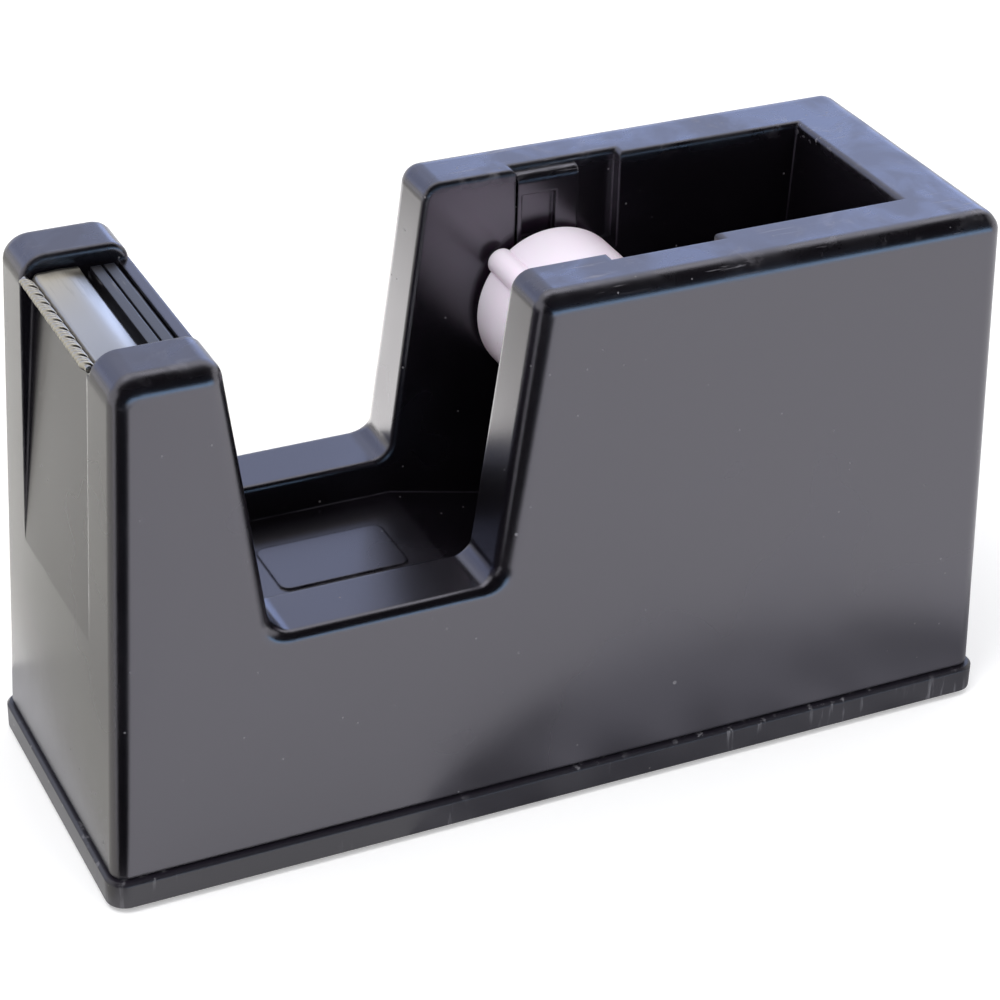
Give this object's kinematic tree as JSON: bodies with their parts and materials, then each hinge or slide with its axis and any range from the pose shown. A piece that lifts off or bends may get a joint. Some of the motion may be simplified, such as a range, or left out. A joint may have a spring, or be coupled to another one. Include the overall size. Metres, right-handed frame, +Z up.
{
  "type": "desk tape dispenser",
  "caption": "Long weighted desk tape dispenser with a toothed cutter on a front tower, an open roll well with a turning core hub, and a flanged non-slip base.",
  "frame": {"origin": "on the desk, under the middle of the base", "axes": "+X along the dispenser from the cutter tower to the roll block, +Y across it along the hub axis, +Z up"},
  "size_m": [0.14, 0.051, 0.082],
  "materials": {
    "gloss_black": "glossy black ABS",
    "tray_black": "satin dark grey-black plastic",
    "screw_steel": "zinc plated steel",
    "foam_black": "matte speckled foam",
    "ballast_iron": "raw cast iron",
    "blade_steel": "bright steel strip",
    "holder_black": "satin black plastic",
    "hub_white": "milky white translucent plastic"
  },
  "bodies": {
    "dispenser": {"housing": "gloss_black", "base_plate": "tray_black", "base_screws": "screw_steel", "non_slip_pad": "foam_black", "ballast_block": "ballast_iron", "cutter_blade": "blade_steel", "cutter_holder": "holder_black"},
    "hub": {"hub_half_near": "hub_white", "hub_half_far": "hub_white"}
  },
  "joints": [
    {"name": "hub_spin", "type": "hinge", "parent": "dispenser", "child": "hub", "pos_m": [0.013, 0, 0.0608], "axis": [0, 1, 0], "continuous": true}
  ]
}
